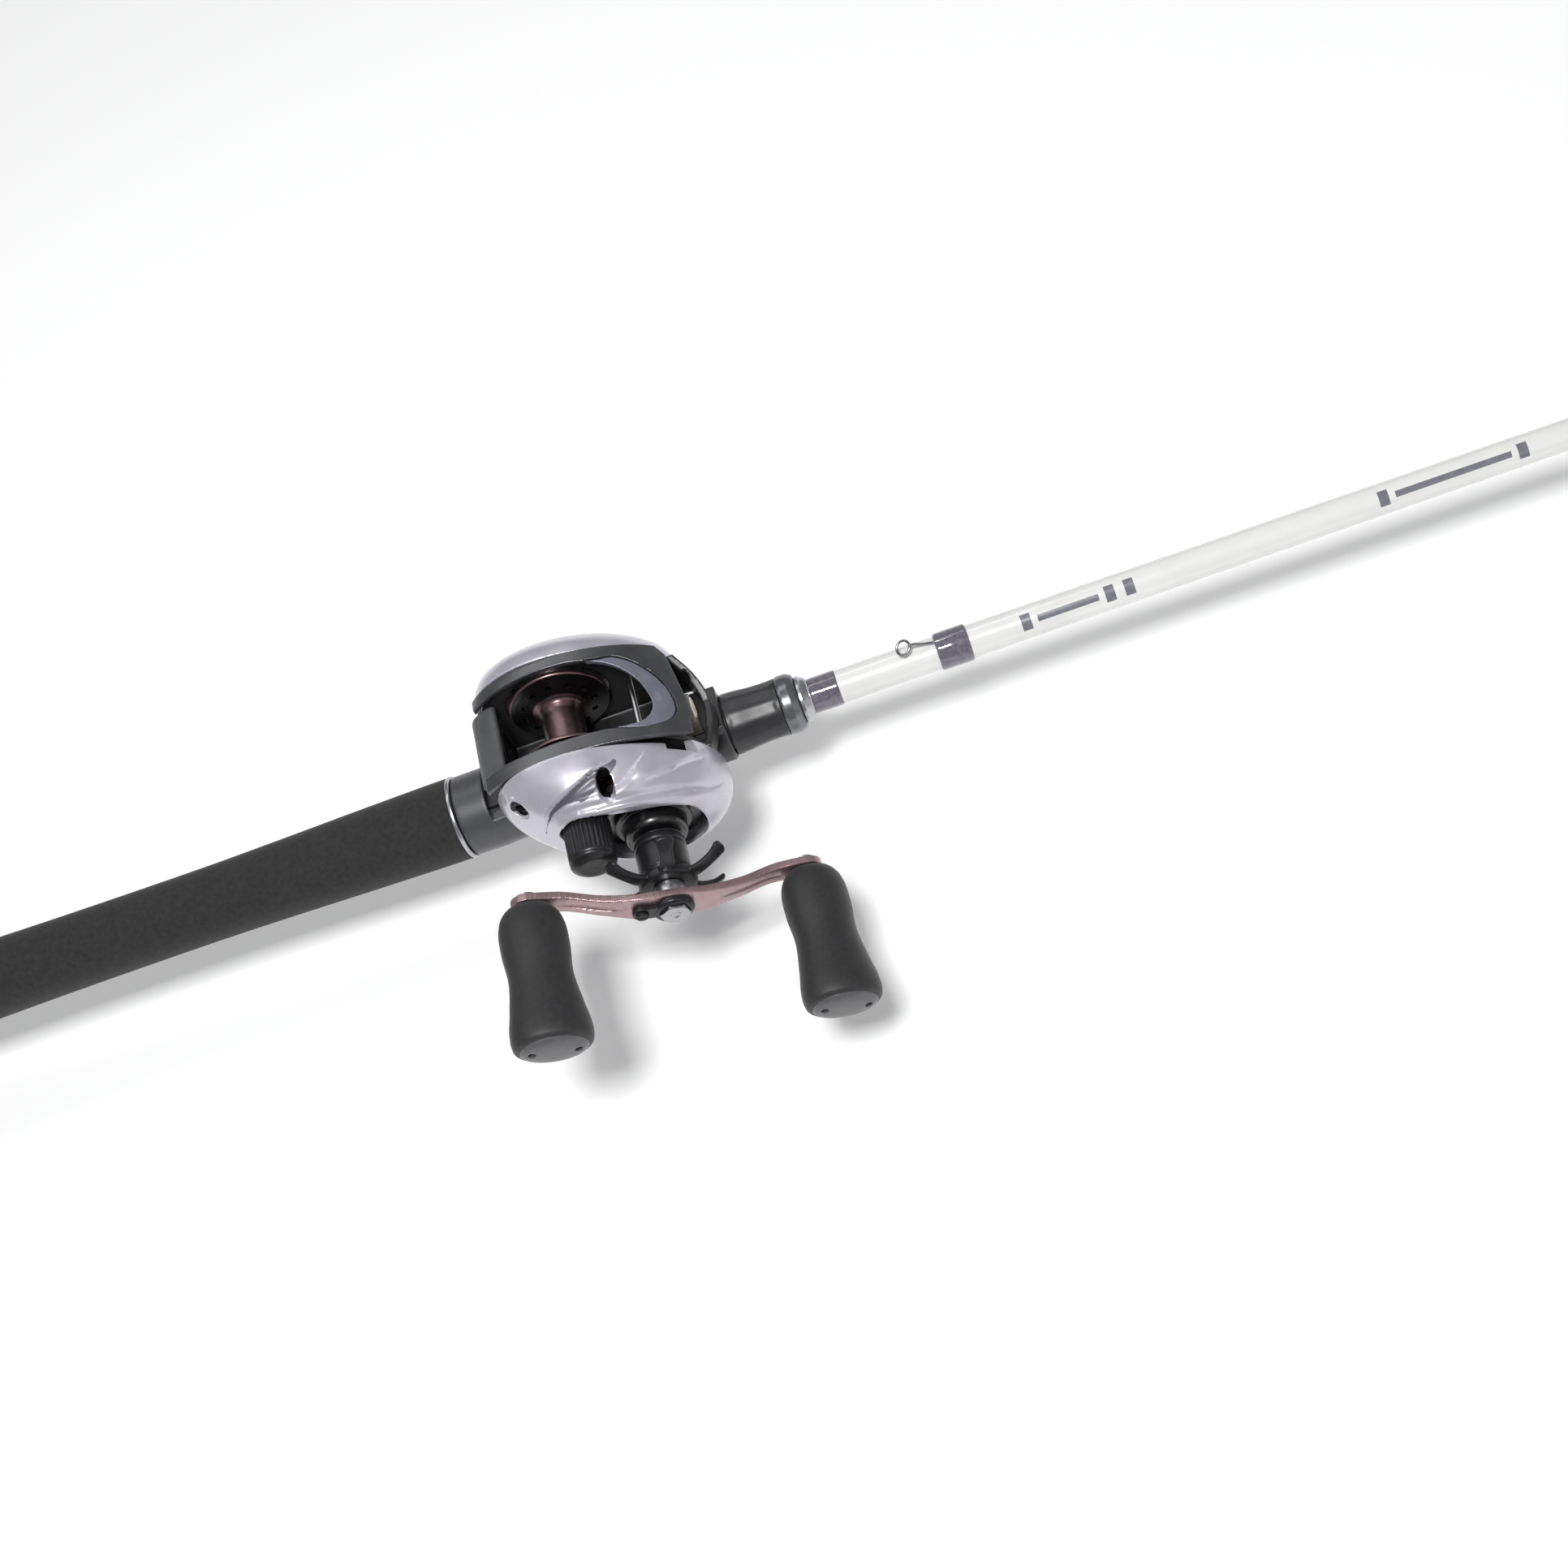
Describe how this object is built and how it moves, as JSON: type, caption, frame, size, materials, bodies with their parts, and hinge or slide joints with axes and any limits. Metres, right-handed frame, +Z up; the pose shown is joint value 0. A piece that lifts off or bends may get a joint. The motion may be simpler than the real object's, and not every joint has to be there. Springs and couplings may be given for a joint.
{
  "type": "baitcasting fishing rod and reel",
  "caption": "One-piece casting rod with a low-profile baitcasting reel: right-hand double crank, star drag, level-wind, trigger seat and line guides.",
  "frame": {"origin": "on the rod's axis at the rear edge of the butt cap's round wall", "axes": "+X along the rod to its tip, +Y to the angler's left, +Z up through the reel; the crank is on the -Y side"},
  "size_m": [1.9845, 0.1322, 0.0763],
  "materials": {
    "grip_foam": "matte closed-cell foam",
    "hard_rubber": "satin moulded rubber",
    "blank_paint": "pearl white gloss over a graphite tube",
    "seat_plastic": "dark grey satin, fibre-filled",
    "nut_plastic": "dark grey satin",
    "trim_silver": "bright anodised ring",
    "trim_grey": "satin grey anodised ring",
    "guide_steel": "polished stainless wire",
    "ceramic": "cream ceramic ring",
    "ceramic_dark": "dark ceramic ring",
    "thread": "purple-grey thread under clear epoxy",
    "frame_metal": "black satin paint",
    "cowl_paint": "dark gunmetal satin paint",
    "plate_paint": "pale lavender silver paint",
    "cover_black": "black moulded cover",
    "bar_grey": "grey satin",
    "spool_black": "black anodised with a rose arbor",
    "steel": "machined steel",
    "brass": "machined brass",
    "alloy": "machined aluminium",
    "fibre": "woven friction fibre",
    "arm_rose": "rose anodised",
    "black_alloy": "black satin anodised",
    "knob_foam": "smooth dark grey foam",
    "cap_grey": "grey satin end plate",
    "screw_black": "black oxide steel",
    "nylon": "natural nylon"
  },
  "bodies": {
    "rod_and_reel_body": {"butt_cap": "hard_rubber", "rear_grip": "grip_foam", "blank": "blank_paint", "guide_frames": "guide_steel", "guide_rings": "ceramic_dark", "thread_wraps": "thread", "grip_trim_ring": "trim_silver", "reel_seat": "seat_plastic", "winding_check": "trim_silver", "hook_keeper": "guide_steel", "reel_foot": "black_alloy", "body_screws": "screw_black", "frame": "frame_metal", "line_bar": "steel", "cowl": "cowl_paint", "left_side_plate": "plate_paint", "brake_base": "alloy", "spool_bearings": "steel", "shaft_bearing": "steel", "one_way_bearing": "steel", "right_side_plate": "plate_paint", "gear_cover": "cover_black", "yoke_springs": "steel", "tension_shim": "nylon", "worm_shield": "alloy"},
    "hood": {"sliding_hood": "nut_plastic"},
    "nut": {"lock_nut": "nut_plastic", "nut_trim_ring": "trim_grey"},
    "spool_unit": {"spool": "spool_black", "spool_shaft": "steel", "brake_rotor": "alloy"},
    "pinion_unit": {"pinion": "brass"},
    "yoke": {"clutch_yoke": "nylon"},
    "thumb_unit": {"thumb_bar": "bar_grey", "clutch_cam": "nylon"},
    "crank": {"drive_shaft": "steel", "drive_gear": "brass", "drag_washers": "fibre", "feed_gear": "nylon", "one_way_sleeve": "steel", "drag_spacer": "alloy", "crank_arm": "arm_rose", "handle_nut": "screw_black", "nut_retainer": "black_alloy", "retainer_screw": "screw_black", "knob_posts": "steel", "knob_bushings": "nylon"},
    "star": {"star_drag": "black_alloy"},
    "knob_rear": {"knob_grip_rear": "knob_foam", "knob_cap_rear": "cap_grey"},
    "knob_front": {"knob_grip_front": "knob_foam", "knob_cap_front": "cap_grey"},
    "cast_cap": {"cast_control_cap": "black_alloy"},
    "dial": {"brake_dial": "bar_grey"},
    "magnet_unit": {"brake_magnets": "nylon"},
    "worm": {"worm_shaft": "steel", "worm_gear": "nylon"},
    "guide": {"line_guide": "black_alloy", "line_guide_ring": "ceramic", "pawl": "brass"}
  },
  "joints": [
    {"name": "handle_spin", "type": "hinge", "parent": "rod_and_reel_body", "child": "crank", "pos_m": [0.2811, -0.04, 0.01455], "axis": [0, 1, 0], "continuous": true},
    {"name": "spool_spin", "type": "hinge", "parent": "rod_and_reel_body", "child": "spool_unit", "pos_m": [0.2638, -0.002, 0.026], "axis": [0, 1, 0], "continuous": true},
    {"name": "yoke_slide", "type": "slide", "parent": "rod_and_reel_body", "child": "yoke", "axis": [0, -1, 0], "range_m": [0, 0.002], "deforming": ["yoke_springs"]},
    {"name": "pinion_spin", "type": "hinge", "parent": "yoke", "child": "pinion_unit", "pos_m": [0.2638, -0.024, 0.026], "axis": [0, 1, 0], "continuous": true},
    {"name": "thumb_bar_press", "type": "slide", "parent": "rod_and_reel_body", "child": "thumb_unit", "axis": [0, 0, -1], "range_m": [0, 0.004]},
    {"name": "worm_spin", "type": "hinge", "parent": "rod_and_reel_body", "child": "worm", "pos_m": [0.29348, 0, 0.01629], "axis": [0, 1, 0], "continuous": true},
    {"name": "line_guide_slide", "type": "slide", "parent": "rod_and_reel_body", "child": "guide", "axis": [0, 1, 0], "range_m": [-0.003, 0.0104]},
    {"name": "star_turn", "type": "hinge", "parent": "crank", "child": "star", "pos_m": [0.2811, -0.05, 0.01455], "axis": [0, 1, 0], "range_deg": [-180, 180]},
    {"name": "knob_rear_spin", "type": "hinge", "parent": "crank", "child": "knob_rear", "pos_m": [0.24345, -0.075, 0.02946], "axis": [0, 1, 0], "continuous": true},
    {"name": "knob_front_spin", "type": "hinge", "parent": "crank", "child": "knob_front", "pos_m": [0.31876, -0.075, -0.00036], "axis": [0, 1, 0], "continuous": true},
    {"name": "cast_control_turn", "type": "hinge", "parent": "rod_and_reel_body", "child": "cast_cap", "pos_m": [0.2638, -0.042, 0.026], "axis": [0, 1, 0], "range_deg": [-360, 360]},
    {"name": "brake_dial_turn", "type": "hinge", "parent": "rod_and_reel_body", "child": "dial", "pos_m": [0.268, 0.025, 0.02], "axis": [0, 1, 0], "range_deg": [0, 300]},
    {"name": "magnet_slide", "type": "slide", "parent": "rod_and_reel_body", "child": "magnet_unit", "axis": [0, -1, 0], "range_m": [0, 0.0012]},
    {"name": "hood_slide", "type": "slide", "parent": "rod_and_reel_body", "child": "hood", "axis": [1, 0, 0], "range_m": [0, 0.006]},
    {"name": "lock_nut_turn", "type": "hinge", "parent": "hood", "child": "nut", "pos_m": [0.315, 0, 0], "axis": [1, 0, 0], "range_deg": [0, 1440]}
  ],
  "couplings": [
    {"joint": "spool_spin", "follows": "handle_spin", "ratio": -7.3},
    {"joint": "pinion_spin", "follows": "handle_spin", "ratio": -7.3},
    {"joint": "worm_spin", "follows": "handle_spin", "ratio": -1.0833},
    {"joint": "yoke_slide", "follows": "thumb_bar_press", "ratio": 0.5},
    {"joint": "magnet_slide", "follows": "brake_dial_turn", "m_per_rad": 0.00022918},
    {"joint": "hood_slide", "follows": "lock_nut_turn", "m_per_rad": 0.00023873}
  ]
}
